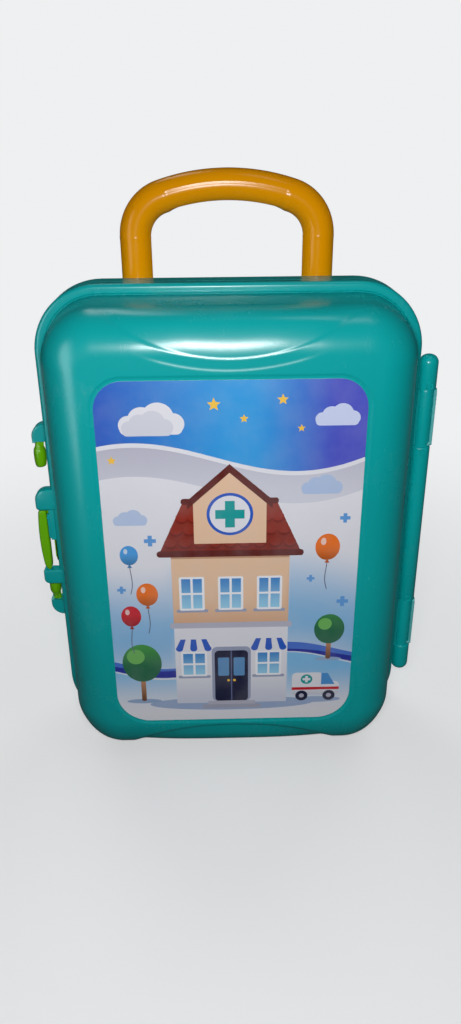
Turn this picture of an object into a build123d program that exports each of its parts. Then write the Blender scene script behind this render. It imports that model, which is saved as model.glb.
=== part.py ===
"""A child's doctor case: two moulded half shells hinged along one side, closed by a swinging clasp.

Frame, in millimetres: +X points to the hinge side, +Y to the back, +Z up. The origin lies on the
base, midway across the case, in the plane where the two shells meet.
"""
from build123d import *
from math import cos, radians, sin
import os

# ---- the two shells --------------------------------------------------------------------------
CASE_WIDTH = 192.0        # across the rim, clasp side to hinge side
CASE_HEIGHT = 260.0       # up the rim, without the handle
RIM_CORNER = 33.5         # corner radius of the rim's outline
FRONT_RIM_DEPTH = 7.0     # front to back
REAR_RIM_DEPTH = 13.0
RIM_PROUD = 4.7           # how far the rim stands out from the shell's walls
RIM_EDGE = 2.0            # rounding of the rim's free edge
FRONT_DEPTH = 43.0        # meeting plane to front face
REAR_DEPTH = 46.0         # meeting plane to back face
SHELL_ROUND = 20.0        # rounding between walls and face
SHELL_WALL = 2.0
DRAFT = 5.0               # degrees, for the shells to leave the mould
SEAM_GAP = 0.3            # between the closed shells

# ---- locating lip, inside the rim --------------------------------------------------------------
LIP_THICK = 1.4
LIP_REACH = 3.0           # into the front shell
LIP_CLEARANCE = 0.35

# ---- feet ----------------------------------------------------------------------------------------
FOOT_WIDTH = 26.0
FOOT_REACH = 22.0         # from the meeting plane
FOOT_CENTRES_WIDTH = 90.0  # centre to centre
FOOT_EDGE = 1.2

# ---- grooves pressed into the front face -----------------------------------------------------
GROOVE_DEPTH = 0.9
GROOVE_HALF_SPAN = 52.0   # centre line to the groove's tip
GROOVE_TIP_WIDTH = 3.0
TOP_GROOVE_TIP = 13.0     # below the rim's top
TOP_GROOVE_LOW = 28.0     # below the rim's top, at the centre line
TOP_GROOVE_WIDTH = 5.3
BASE_GROOVE_TIP = 8.5     # above the base
BASE_GROOVE_HIGH = 20.5   # above the base, at the centre line
BASE_GROOVE_WIDTH = 4.0

# ---- front label -----------------------------------------------------------------------------------
LABEL_WIDTH = 127.5
LABEL_HEIGHT = 194.0
LABEL_BASE = 28.5         # label's lower edge above the base
LABEL_TOP_CORNER = 14.0
LABEL_BASE_CORNER = 18.0
LABEL_THICK = 0.35
PANEL_MARGIN = 2.2        # recessed panel around the label
PANEL_DEPTH = 0.5

# ---- hinge, along the right side ---------------------------------------------------------------
HINGE_OFFSET = 5.7        # axis out from the rim's side
HINGE_DROP = 3.3          # barrel's middle below mid-height
KNUCKLE_RADIUS = 4.9
KNUCKLE_END_ROUND = 3.6
HINGE_HALF = 96.0         # half the length of the whole barrel
CLIP_OUTER = 78.5         # barrel's middle to the far side of a clip's gap
CLIP_INNER = 47.2         # barrel's middle to its near side
CLIP_END_GAP = 0.4
HINGE_PIN_RADIUS = 3.8
HINGE_FIT = 0.06          # pin to clip, all round
CLIP_TO_RIM = 0.25        # clip to the turning rim
CLIP_MOUTH = 1.6          # how far the clip's arms reach in front of the axis
WEB_THICK = 1.6           # web from rim to barrel

# ---- clasp, along the left side ------------------------------------------------------------------
PIVOT_OFFSET = 4.7        # pivot axis out from the rim's side
PIVOT_BACK = 4.4          # pivot axis behind the meeting plane
PIVOT_PIN_RADIUS = 1.8
PIVOT_PIN_LENGTH = 4.9
PIVOT_FIT = 0.05
REAR_HOOD_PROUD = 8.4     # out from the rim's side
REAR_HOOD_DEPTH = 7.5
REAR_HOOD_INNER = 48.6    # mid-height to the hood's inner end
REAR_HOOD_LENGTH = 9.6
REAR_HOOD_NOSE = 7.0      # rounding of its outer corner
EAR_RADIUS = 4.1
EAR_NECK_RADIUS = 2.8
EAR_TIP_RADIUS = 1.8
EAR_LENGTH = 14.6
EAR_FULL_FROM = 4.5       # from the ear's tip, the stretch of full radius
EAR_FULL_TO = 10.0
FRONT_HOOD_PROUD = 8.8
UPPER_HOOD_LOW = 11.8     # above mid-height
UPPER_HOOD_HIGH = 24.8
UPPER_HOOD_NOSE = 5.5
LOWER_HOOD_HIGH = -23.4
LOWER_HOOD_LOW = -33.2
LOWER_HOOD_NOSE = 2.6
HOOD_EDGE = 1.1           # rounding of every hood's other edges
CATCH_PROUD = 2.3
CATCH_DEPTH = 3.0
CATCH_LENGTH = 17.8
CLASP_GAP = 0.3           # clasp to whatever it passes
CLASP_PLATE = 1.2
CLASP_BAR_DEPTH = 2.5     # bar that joins the two ears
CLASP_TO_RIM = 0.9
PLATE_TO_CATCH = 1.6      # plate's front edge behind the catch, with room to swing
LEVER_FRONT = 6.3         # lever's front and back faces before the meeting plane
LEVER_BACK = 1.3
LEVER_EDGE = 1.1
LEVER_TOP = (8.0, 2.8)    # outer and inner faces, out from the rim's side
LEVER_MIDDLE = (8.9, 2.7)
LEVER_BOTTOM = (7.4, 3.8)
LEVER_RIB_LENGTH = 14.0
LEVER_RIB_THICK = 2.0

# ---- carry handle --------------------------------------------------------------------------------
HANDLE_WIDTH = 91.2       # between the two leg axes
HANDLE_RADIUS = 7.8
HANDLE_BORE = 5.3
HANDLE_BACK = 21.6        # leg axes behind the meeting plane
HANDLE_RISE = 41.8        # crown's axis above the rim's top
HANDLE_BEND = 19.5
HANDLE_BEND_ANGLE = 72.0
GRIP_HALF = 30.7          # half the flattened stretch under the crown
GRIP_FLAT = 0.9
SOCKET_DEPTH = 18.0       # below the shell's top wall
SOCKET_WALL = 1.8
SOCKET_FLOOR = 2.0
SOCKET_FIT = 0.1
BEAD_PROUD = 0.5          # snap bead round each leg
BEAD_HEIGHT = 3.0
BEAD_UP = 7.0             # above the socket's floor

# ---- places that follow from the sizes --------------------------------------------------------
SIDE = CASE_WIDTH / 2
MID_HEIGHT = CASE_HEIGHT / 2
HALF_GAP = SEAM_GAP / 2
BURY = 1.0                # how far a lug starts inside the wall that carries it
WALL_TOP = CASE_HEIGHT - RIM_PROUD
HINGE_X = SIDE + HINGE_OFFSET
PIVOT_X = -SIDE - PIVOT_OFFSET
MID_PLANE = Plane.XY.offset(MID_HEIGHT)
HINGE_MIDDLE = MID_HEIGHT - HINGE_DROP
HINGE_PLANE = Plane.XY.offset(HINGE_MIDDLE)


def rim_outline(inset):
    """The rim's outline, drawn in the current sketch and shrunk by inset."""
    with Locations((0, MID_HEIGHT)):
        RectangleRounded(CASE_WIDTH - 2 * inset, CASE_HEIGHT - 2 * inset, RIM_CORNER - inset)


def dome(depth, inset):
    """The solid under one shell's skin, reaching forward from the meeting plane."""
    with BuildPart() as solid:
        with BuildSketch(Plane.XZ.offset(HALF_GAP)):
            rim_outline(RIM_PROUD + inset)
        extrude(amount=depth - inset - HALF_GAP, taper=DRAFT)
        fillet(solid.faces().sort_by(Axis.Y)[0].edges(), SHELL_ROUND - inset)
    return solid.part


def half_shell(depth, rim_depth, rim_wall):
    """One hollow shell with its rim and two feet, its face towards -Y."""
    with BuildPart() as half:
        with BuildSketch(Plane.XZ.offset(HALF_GAP)):
            rim_outline(0)
        extrude(amount=rim_depth - HALF_GAP)
        fillet(half.faces().sort_by(Axis.Y)[0].edges(), RIM_EDGE)
        add(foot_pair())
        add(dome(depth, 0))
        add(dome(depth, SHELL_WALL), mode=Mode.SUBTRACT)
        with BuildSketch(Plane.XZ.offset(HALF_GAP)):
            rim_outline(rim_wall)
        extrude(amount=rim_depth - SHELL_WALL - HALF_GAP, mode=Mode.SUBTRACT)
    return half.part


def foot_pair():
    """Two blocks under the shell's lower wall, level with the rim."""
    with BuildPart() as feet:
        start = FRONT_RIM_DEPTH / 2
        with Locations(*[(side * FOOT_CENTRES_WIDTH / 2, -start, 0) for side in (-1, 1)]):
            Box(
                FOOT_WIDTH,
                FOOT_REACH - start,
                RIM_PROUD + SHELL_WALL,
                align=(Align.CENTER, Align.MAX, Align.MIN),
            )
        for foot in feet.solids():
            front = foot.faces().sort_by(Axis.Y)[0]
            uprights = front.edges().filter_by(Axis.Z)
            toe = front.edges().sort_by(Axis.Z)[0]
            fillet([*uprights, toe], FOOT_EDGE)
    return feet.part


def face_groove(tip_z, centre_z, width):
    """A crescent groove that follows the front face; its outer arc lies width beyond centre_z."""
    turn = 1 if centre_z > tip_z else -1
    tip = GROOVE_HALF_SPAN
    beyond = GROOVE_HALF_SPAN + GROOVE_TIP_WIDTH
    with BuildPart() as groove:
        with BuildSketch(Plane.XZ):
            with BuildLine():
                inner = ThreePointArc((-tip, tip_z), (0, centre_z), (tip, tip_z))
                bottom_z = centre_z + turn * width
                outer = ThreePointArc((beyond, tip_z), (0, bottom_z), (-beyond, tip_z))
                Line(inner @ 1, outer @ 0)
                Line(outer @ 1, inner @ 0)
            make_face()
        extrude(amount=FRONT_DEPTH + GROOVE_DEPTH)
        add(dome(FRONT_DEPTH, GROOVE_DEPTH), mode=Mode.SUBTRACT)
        cut_back = FRONT_DEPTH - SHELL_ROUND
        with Locations((0, 0, MID_HEIGHT)):
            Box(
                CASE_WIDTH,
                cut_back,
                2 * CASE_HEIGHT,
                align=(Align.CENTER, Align.MAX, Align.CENTER),
                mode=Mode.SUBTRACT,
            )
    return groove.part


def label_outline(margin):
    """The label's outline, grown by margin."""
    with BuildSketch() as outline:
        with Locations((0, LABEL_BASE + LABEL_HEIGHT / 2)):
            Rectangle(LABEL_WIDTH + 2 * margin, LABEL_HEIGHT + 2 * margin)
        fillet(outline.vertices().sort_by(Axis.Y)[-2:], LABEL_TOP_CORNER + margin)
        fillet(outline.vertices().sort_by(Axis.Y)[:2], LABEL_BASE_CORNER + margin)
    return outline.sketch


LABEL_FACE = label_outline(0)
PANEL_FACE = label_outline(PANEL_MARGIN)


def hood(proud, front_y, back_y, low, high, nose, nose_up, bury):
    """A block out of the clasp side's rim, with its outer corner at one end rounded by nose."""
    with BuildPart() as block:
        with Locations((-SIDE - proud, front_y, MID_HEIGHT + low)):
            Box(
                proud + bury,
                back_y - front_y,
                high - low,
                align=(Align.MIN, Align.MIN, Align.MIN),
            )
        corners = block.edges().filter_by(Axis.Y).group_by(Axis.X)[0].sort_by(Axis.Z)
        fillet(corners[-1] if nose_up else corners[0], nose)
        flat_end = MID_HEIGHT + (low if nose_up else high)
        outlines = block.edges().filter_by(Axis.Y, reverse=True)
        rounded = [
            edge
            for edge in outlines
            if edge.center().X < -SIDE and abs(edge.center().Z - flat_end) > HOOD_EDGE
        ]
        fillet(rounded, HOOD_EDGE)
    return block.part


# ---- front shell: the lid, with the hinge barrel and the clasp's hoods and catch --------------------
def hinge_barrel():
    """Three knuckles on one pin, with the webs that join them to the rim."""
    stretches = [
        (-HINGE_HALF, -CLIP_OUTER),
        (-CLIP_INNER, CLIP_INNER),
        (CLIP_OUTER, HINGE_HALF),
    ]
    with BuildPart() as barrel:
        for low, high in stretches:
            with BuildSketch(HINGE_PLANE.offset(low)):
                with Locations((HINGE_X, 0)):
                    Circle(KNUCKLE_RADIUS)
            extrude(amount=high - low)
        caps = barrel.faces().filter_by(Axis.Z).sort_by(Axis.Z)
        fillet([*caps[0].edges(), *caps[-1].edges()], KNUCKLE_END_ROUND)
        with BuildSketch(HINGE_PLANE.offset(-CLIP_OUTER - BURY)):
            with Locations((HINGE_X, 0)):
                Circle(HINGE_PIN_RADIUS)
        extrude(amount=2 * (CLIP_OUTER + BURY))
        for low, high in stretches:
            foot = low + KNUCKLE_END_ROUND if low == -HINGE_HALF else low
            head = high - KNUCKLE_END_ROUND if high == HINGE_HALF else high
            with Locations((SIDE - BURY, -HALF_GAP, HINGE_MIDDLE + foot)):
                Box(
                    HINGE_OFFSET + BURY,
                    WEB_THICK,
                    head - foot,
                    align=(Align.MIN, Align.MAX, Align.MIN),
                )
    return barrel.part


with BuildPart() as front_shell:
    add(half_shell(FRONT_DEPTH, FRONT_RIM_DEPTH, SHELL_WALL))
    top_tip = CASE_HEIGHT - TOP_GROOVE_TIP
    top_low = CASE_HEIGHT - TOP_GROOVE_LOW
    add(face_groove(top_tip, top_low, TOP_GROOVE_WIDTH), mode=Mode.SUBTRACT)
    add(face_groove(BASE_GROOVE_TIP, BASE_GROOVE_HIGH, BASE_GROOVE_WIDTH), mode=Mode.SUBTRACT)
    with BuildSketch(Plane.XZ.offset(FRONT_DEPTH - PANEL_DEPTH)):
        add(PANEL_FACE)
    extrude(amount=PANEL_DEPTH + GROOVE_DEPTH, mode=Mode.SUBTRACT)
    add(hinge_barrel())
    hood_back = -HALF_GAP - CLASP_GAP / 2
    hood_front = -FRONT_RIM_DEPTH
    for low, high, nose, nose_up in (
        (UPPER_HOOD_LOW, UPPER_HOOD_HIGH, UPPER_HOOD_NOSE, True),
        (LOWER_HOOD_LOW, LOWER_HOOD_HIGH, LOWER_HOOD_NOSE, False),
    ):
        sides = (FRONT_HOOD_PROUD, hood_front, hood_back)
        add(hood(*sides, low, high, nose, nose_up, SHELL_WALL))
    catch_front = hood_front + CLASP_GAP + HOOD_EDGE / 2
    catch_back = catch_front + CATCH_DEPTH
    with Locations((-SIDE - CATCH_PROUD, catch_front, MID_HEIGHT + UPPER_HOOD_LOW + BURY)):
        Box(
            CATCH_PROUD + BURY,
            CATCH_DEPTH,
            CATCH_LENGTH + BURY,
            align=(Align.MIN, Align.MIN, Align.MAX),
        )
front_shell.part.label = "front_shell"


# ---- front label: a printed sheet stuck in the panel of the lid -------------------------------------
with BuildPart() as front_label:
    with BuildSketch(Plane.XZ.offset(FRONT_DEPTH - PANEL_DEPTH)):
        add(LABEL_FACE)
    extrude(amount=LABEL_THICK)
front_label.part.label = "front_label"


# ---- rear shell: stands the case up and holds the lid's pin, the clasp and the handle -----------------
def locating_lip():
    """A thin wall round the mouth of the rear shell, which enters the front shell's rim."""
    outer = SHELL_WALL + LIP_CLEARANCE
    with BuildPart() as lip:
        with BuildSketch(Plane.XZ.offset(-FRONT_RIM_DEPTH / 2)):
            rim_outline(outer)
            with Locations((0, MID_HEIGHT)):
                RectangleRounded(
                    CASE_WIDTH - 2 * (outer + LIP_THICK),
                    CASE_HEIGHT - 2 * (outer + LIP_THICK),
                    RIM_CORNER - outer - LIP_THICK,
                    mode=Mode.SUBTRACT,
                )
        extrude(amount=FRONT_RIM_DEPTH / 2 + LIP_REACH)
    return lip.part


def snap_clip():
    """A trough, open to the front, that snaps over the lid's pin above the barrel's middle."""
    bore = HINGE_PIN_RADIUS + HINGE_FIT
    outside = HINGE_OFFSET - CLIP_TO_RIM
    low = CLIP_INNER + CLIP_END_GAP
    length = CLIP_OUTER - CLIP_INNER - 2 * CLIP_END_GAP
    with BuildPart() as clip:
        with BuildSketch(HINGE_PLANE.offset(low)):
            with Locations((HINGE_X, 0)):
                Circle(outside)
            with Locations((SIDE - BURY, HALF_GAP)):
                Rectangle(HINGE_OFFSET + BURY, outside - HALF_GAP, align=(Align.MIN, Align.MIN))
            with Locations((HINGE_X, 0)):
                Circle(bore, mode=Mode.SUBTRACT)
            with Locations((HINGE_X, -CLIP_MOUTH)):
                Rectangle(2 * outside + BURY, outside, align=(Align.CENTER, Align.MAX), mode=Mode.SUBTRACT)
        extrude(amount=length)
    return clip.part


def pivot_hood():
    """The upper of the two hoods that the clasp turns in."""
    front_y = PIVOT_BACK - REAR_HOOD_DEPTH / 2
    back_y = PIVOT_BACK + REAR_HOOD_DEPTH / 2
    high = REAR_HOOD_INNER + REAR_HOOD_LENGTH
    sides = (REAR_HOOD_PROUD, front_y, back_y)
    with BuildPart() as upper:
        add(hood(*sides, REAR_HOOD_INNER, high, REAR_HOOD_NOSE, True, BURY))
        with BuildSketch(MID_PLANE.offset(REAR_HOOD_INNER)):
            with Locations((PIVOT_X, PIVOT_BACK)):
                Circle(PIVOT_PIN_RADIUS + PIVOT_FIT)
        extrude(amount=PIVOT_PIN_LENGTH + CLASP_GAP, mode=Mode.SUBTRACT)
    return upper.part


def handle_sockets():
    """Two cups that hang from the top wall, before their bores are cut."""
    outside = HANDLE_RADIUS + SOCKET_FIT + SOCKET_WALL
    with BuildPart() as cups:
        with BuildSketch(Plane.XY.offset(WALL_TOP)):
            with Locations((-HANDLE_WIDTH / 2, -HANDLE_BACK), (HANDLE_WIDTH / 2, -HANDLE_BACK)):
                Circle(outside)
        extrude(amount=-(SHELL_WALL / 2 + SOCKET_DEPTH + SOCKET_FLOOR))
        add(dome(REAR_DEPTH, SHELL_WALL / 2), mode=Mode.INTERSECT)
    return mirror(cups.part, about=Plane.XZ)


SOCKET_BASE = WALL_TOP - SHELL_WALL / 2 - SOCKET_DEPTH


def socket_bores():
    """The bores for the legs, each with a groove for the snap bead."""
    bore = HANDLE_RADIUS + SOCKET_FIT
    with BuildPart() as bores:
        with BuildSketch(Plane.XY.offset(SOCKET_BASE)):
            with Locations((-HANDLE_WIDTH / 2, HANDLE_BACK), (HANDLE_WIDTH / 2, HANDLE_BACK)):
                Circle(bore)
        extrude(amount=2 * SOCKET_DEPTH)
        with BuildSketch(Plane.XY.offset(SOCKET_BASE + BEAD_UP - SOCKET_FIT)):
            with Locations((-HANDLE_WIDTH / 2, HANDLE_BACK), (HANDLE_WIDTH / 2, HANDLE_BACK)):
                Circle(bore + BEAD_PROUD)
        extrude(amount=BEAD_HEIGHT + 2 * SOCKET_FIT)
    return bores.part


with BuildPart() as rear_shell:
    lip_wall = SHELL_WALL + LIP_CLEARANCE + LIP_THICK
    add(mirror(half_shell(REAR_DEPTH, REAR_RIM_DEPTH, lip_wall), about=Plane.XZ))
    add(locating_lip())
    upper_clip = snap_clip()
    add(upper_clip)
    add(mirror(upper_clip, about=HINGE_PLANE))
    upper_hood = pivot_hood()
    add(upper_hood)
    add(mirror(upper_hood, about=MID_PLANE))
    add(handle_sockets())
    add(socket_bores(), mode=Mode.SUBTRACT)
rear_shell.part.label = "rear_shell"


# ---- clasp: one moulding, with two ears on pivot pins, a plate along the rim and a finger lever -------
def clasp_ear():
    """The upper ear, turned about the pivot axis, with its pin."""
    axis_plane = Plane(origin=(PIVOT_X, PIVOT_BACK, MID_HEIGHT), x_dir=(1, 0, 0), z_dir=(0, -1, 0))
    outer = REAR_HOOD_INNER - CLASP_GAP
    inner = outer - EAR_LENGTH
    with BuildPart() as ear:
        with BuildSketch(axis_plane):
            with BuildLine():
                tip = Line((0, inner), (EAR_TIP_RADIUS, inner))
                side = Line((EAR_RADIUS, inner + EAR_FULL_FROM), (EAR_RADIUS, inner + EAR_FULL_TO))
                Spline(tip @ 1, side @ 0, tangents=((1, 0), (0, 1)))
                neck = Spline(side @ 1, (EAR_NECK_RADIUS, outer), tangents=((0, 1), (-1, 1)))
                end = Line(neck @ 1, (0, outer))
                Line(end @ 1, tip @ 0)
            make_face()
        revolve(axis=Axis((PIVOT_X, PIVOT_BACK, 0), (0, 0, 1)))
        with BuildSketch(MID_PLANE.offset(outer - BURY)):
            with Locations((PIVOT_X, PIVOT_BACK)):
                Circle(PIVOT_PIN_RADIUS)
        extrude(amount=BURY + PIVOT_PIN_LENGTH)
    return ear.part


LEVER_HIGH = UPPER_HOOD_LOW - CLASP_GAP
LEVER_LOW = LOWER_HOOD_HIGH + CLASP_GAP


def finger_lever():
    """The bowed bar that the finger pulls, thickest at its middle."""
    middle = (LEVER_HIGH + LEVER_LOW) / 2
    with BuildPart() as lever:
        with BuildSketch(Plane.XZ.offset(LEVER_BACK)):
            with BuildLine():
                outside = ThreePointArc(
                    (-SIDE - LEVER_TOP[0], MID_HEIGHT + LEVER_HIGH),
                    (-SIDE - LEVER_MIDDLE[0], MID_HEIGHT + middle),
                    (-SIDE - LEVER_BOTTOM[0], MID_HEIGHT + LEVER_LOW),
                )
                inside = ThreePointArc(
                    (-SIDE - LEVER_BOTTOM[1], MID_HEIGHT + LEVER_LOW),
                    (-SIDE - LEVER_MIDDLE[1], MID_HEIGHT + middle),
                    (-SIDE - LEVER_TOP[1], MID_HEIGHT + LEVER_HIGH),
                )
                Line(outside @ 1, inside @ 0)
                Line(inside @ 1, outside @ 0)
            make_face()
        extrude(amount=LEVER_FRONT - LEVER_BACK)
        bowed = lever.edges().filter_by(GeomType.CIRCLE)
        fillet(bowed, LEVER_EDGE)
    return lever.part


with BuildPart() as clasp:
    upper_ear = clasp_ear()
    add(upper_ear)
    add(mirror(upper_ear, about=MID_PLANE))
    plate_x = -SIDE - CLASP_TO_RIM
    bar_reach = REAR_HOOD_INNER - CLASP_GAP
    with Locations((plate_x, PIVOT_BACK - CLASP_BAR_DEPTH / 2, MID_HEIGHT)):
        Box(
            CLASP_PLATE,
            CLASP_BAR_DEPTH,
            2 * bar_reach,
            align=(Align.MAX, Align.MIN, Align.CENTER),
        )
    plate_front = catch_back + PLATE_TO_CATCH
    with Locations((plate_x, plate_front, MID_HEIGHT + LEVER_LOW)):
        Box(
            CLASP_PLATE,
            PIVOT_BACK - plate_front,
            LEVER_HIGH - LEVER_LOW,
            align=(Align.MAX, Align.MIN, Align.MIN),
        )
    rib_x = plate_x - CLASP_PLATE / 2
    with Locations((rib_x, -LEVER_BACK, MID_HEIGHT + LEVER_HIGH)):
        Box(
            (LEVER_TOP[0] + LEVER_TOP[1]) / 2 - CLASP_TO_RIM - CLASP_PLATE / 2,
            LEVER_RIB_THICK,
            LEVER_RIB_LENGTH,
            align=(Align.MAX, Align.CENTER, Align.MAX),
        )
    add(finger_lever())
clasp.part.label = "clasp"


# ---- carry handle: a bent tube whose legs snap into the rear shell's sockets -------------------------
def handle_path():
    """The tube's centre line, from one leg's end over the crown to the other's."""
    bend_end_x = HANDLE_WIDTH / 2 - HANDLE_BEND * (1 - cos(radians(HANDLE_BEND_ANGLE)))
    slope = 90 - HANDLE_BEND_ANGLE
    crown_radius = bend_end_x / sin(radians(slope))
    crown_z = CASE_HEIGHT + HANDLE_RISE
    crown_centre = crown_z - crown_radius
    bend_end_z = crown_centre + crown_radius * cos(radians(slope))
    leg_top = bend_end_z - HANDLE_BEND * sin(radians(HANDLE_BEND_ANGLE))
    bend_x = HANDLE_WIDTH / 2 - HANDLE_BEND
    with BuildLine(Plane.XZ.offset(-HANDLE_BACK)) as path:
        Line((HANDLE_WIDTH / 2, SOCKET_BASE), (HANDLE_WIDTH / 2, leg_top))
        CenterArc((bend_x, leg_top), HANDLE_BEND, 0, HANDLE_BEND_ANGLE)
        CenterArc((0, crown_centre), crown_radius, HANDLE_BEND_ANGLE, 2 * slope)
        CenterArc((-bend_x, leg_top), HANDLE_BEND, 180 - HANDLE_BEND_ANGLE, HANDLE_BEND_ANGLE)
        Line((-HANDLE_WIDTH / 2, leg_top), (-HANDLE_WIDTH / 2, SOCKET_BASE))
    return path.wires()[0], crown_centre, crown_radius


with BuildPart() as carry_handle:
    centre_line, crown_centre, crown_radius = handle_path()
    leg_plane = Plane(origin=(HANDLE_WIDTH / 2, HANDLE_BACK, SOCKET_BASE), z_dir=(0, 0, 1))
    with BuildSketch(leg_plane):
        Circle(HANDLE_RADIUS)
    sweep(path=centre_line)
    with BuildSketch(Plane.XZ.offset(-HANDLE_BACK - HANDLE_RADIUS)):
        with Locations((0, crown_centre)):
            Circle(crown_radius - HANDLE_RADIUS + GRIP_FLAT)
        with Locations((0, crown_centre)):
            Rectangle(2 * GRIP_HALF, 2 * crown_radius, mode=Mode.INTERSECT)
    extrude(amount=2 * HANDLE_RADIUS, mode=Mode.SUBTRACT)
    with BuildSketch(Plane.XY.offset(SOCKET_BASE + BEAD_UP)):
        with Locations((-HANDLE_WIDTH / 2, HANDLE_BACK), (HANDLE_WIDTH / 2, HANDLE_BACK)):
            Circle(HANDLE_RADIUS + BEAD_PROUD)
    extrude(amount=BEAD_HEIGHT)
    with BuildSketch(leg_plane):
        Circle(HANDLE_BORE)
    sweep(path=centre_line, mode=Mode.SUBTRACT)
carry_handle.part.label = "carry_handle"

os.makedirs("parts", exist_ok=True)
export_step(front_shell.part, "parts/front_shell.step")
export_step(front_label.part, "parts/front_label.step")
export_step(rear_shell.part, "parts/rear_shell.step")
export_step(clasp.part, "parts/clasp.step")
export_step(carry_handle.part, "parts/carry_handle.step")
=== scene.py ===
from math import atan2, cos, hypot, pi, radians, sin, sqrt, tan

import bmesh
import bpy
import numpy as np
from mathutils import Matrix, Quaternion, Vector
from mathutils.geometry import delaunay_2d_cdt


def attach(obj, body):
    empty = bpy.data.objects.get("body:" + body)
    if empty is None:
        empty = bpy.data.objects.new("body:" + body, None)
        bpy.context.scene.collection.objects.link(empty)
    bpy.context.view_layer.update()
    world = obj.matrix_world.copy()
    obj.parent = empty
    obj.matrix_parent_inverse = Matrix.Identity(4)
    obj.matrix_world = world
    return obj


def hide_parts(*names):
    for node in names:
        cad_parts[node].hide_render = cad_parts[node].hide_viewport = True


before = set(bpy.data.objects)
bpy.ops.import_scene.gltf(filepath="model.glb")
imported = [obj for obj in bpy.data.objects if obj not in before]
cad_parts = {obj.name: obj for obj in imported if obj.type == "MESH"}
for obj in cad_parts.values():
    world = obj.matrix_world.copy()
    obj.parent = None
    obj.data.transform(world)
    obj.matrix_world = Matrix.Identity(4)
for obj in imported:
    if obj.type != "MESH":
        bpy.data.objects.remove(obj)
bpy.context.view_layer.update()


# ---- rear shell ----------------------------------------------------------------------------------
# The back half of the case, one polypropylene moulding with its rim, the two snap clips of the
# hinge, the hoods that the clasp turns in and the sockets for the handle. It keeps its CAD form
# and gets the moulded, slightly rubbed finish that the front half has too.
CASE_TEAL = (0.002, 0.365, 0.372)
RUBBED_TEAL = (0.3, 0.6, 0.6)
SHELL_ROUGHNESS = 0.26
PLASTIC_IOR = 1.49
FLOW, PATCHES, STREAKS, PEEL, GRAIN = 9.0, 26.0, 420.0, 240.0, 1900.0  # noise cycles per metre


def add_node(tree, kind, settings=None, **inputs):
    """A shader node; an input is a value or another node's output."""
    node = tree.nodes.new(kind)
    for key, value in (settings or {}).items():
        setattr(node, key, value)
    for key, value in inputs.items():
        socket = node.inputs[int(key[1:]) if key[1:].isdigit() else key.replace("_", " ")]
        if isinstance(value, bpy.types.NodeSocket):
            tree.links.new(value, socket)
        else:
            socket.default_value = value
    return node


def ramp(tree, value, low, high, to_low=0.0, to_high=1.0):
    """The value carried from low..high to to_low..to_high, smoothly and clamped."""
    node = add_node(
        tree,
        "ShaderNodeMapRange",
        {"interpolation_type": "SMOOTHSTEP"},
        Value=value,
        From_Min=low,
        From_Max=high,
        To_Min=to_low,
        To_Max=to_high,
    )
    return node.outputs["Result"]


def times(tree, a, b):
    return add_node(tree, "ShaderNodeMath", {"operation": "MULTIPLY"}, _0=a, _1=b).outputs[0]


def plus(tree, a, b):
    return add_node(tree, "ShaderNodeMath", {"operation": "ADD"}, _0=a, _1=b).outputs[0]


def noise(tree, place, scale, detail, roughness=0.5):
    node = add_node(
        tree,
        "ShaderNodeTexNoise",
        Vector=place,
        Scale=scale,
        Detail=detail,
        Roughness=roughness,
    )
    return node.outputs["Fac"]


def mix_colour(tree, share, first, second):
    node = add_node(tree, "ShaderNodeMix", {"data_type": "RGBA"}, _0=share, _6=first, _7=second)
    return node.outputs[2]


def polypropylene(name, colour, rubbed, roughness, shine=0.42):
    """Moulded plastic: faint flow clouds, dull rub marks and a fine grain from the mould."""
    material = bpy.data.materials.new(name)
    material.use_nodes = True
    tree = material.node_tree
    shader = tree.nodes["Principled BSDF"]
    place = add_node(tree, "ShaderNodeTexCoord").outputs["Object"]
    stretched = add_node(tree, "ShaderNodeMapping", Vector=place, Scale=(1.0, 1.0, 0.3)).outputs[0]
    flow = ramp(tree, noise(tree, place, FLOW, 2.0), 0.3, 0.7)
    deep = tuple(0.9 * c for c in colour)
    body = mix_colour(tree, flow, (*deep, 1.0), (*colour, 1.0))
    patches = ramp(tree, noise(tree, place, PATCHES, 3.0), 0.52, 0.72)
    streaks = ramp(tree, noise(tree, stretched, STREAKS, 5.0, 0.7), 0.5, 0.68)
    rub = times(tree, patches, streaks)
    tree.links.new(
        mix_colour(tree, times(tree, rub, 0.07), body, (*rubbed, 1.0)),
        shader.inputs["Base Color"],
    )
    tree.links.new(
        plus(tree, plus(tree, times(tree, rub, 0.09), roughness), times(tree, patches, 0.04)),
        shader.inputs["Roughness"],
    )
    peel = noise(tree, place, PEEL, 2.0)
    grain = noise(tree, place, GRAIN, 2.0)
    height = plus(tree, times(tree, peel, 0.7), times(tree, grain, 0.12))
    bump = add_node(tree, "ShaderNodeBump", Height=height, Strength=0.5, Distance=0.00006)
    tree.links.new(bump.outputs[0], shader.inputs["Normal"])
    shader.inputs["IOR"].default_value = PLASTIC_IOR
    shader.inputs["Specular IOR Level"].default_value = shine
    return material


teal_plastic = polypropylene("teal_polypropylene", CASE_TEAL, RUBBED_TEAL, SHELL_ROUGHNESS)
rear_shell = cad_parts["rear_shell"]
rear_shell.data.materials.clear()
rear_shell.data.materials.append(teal_plastic)


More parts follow.
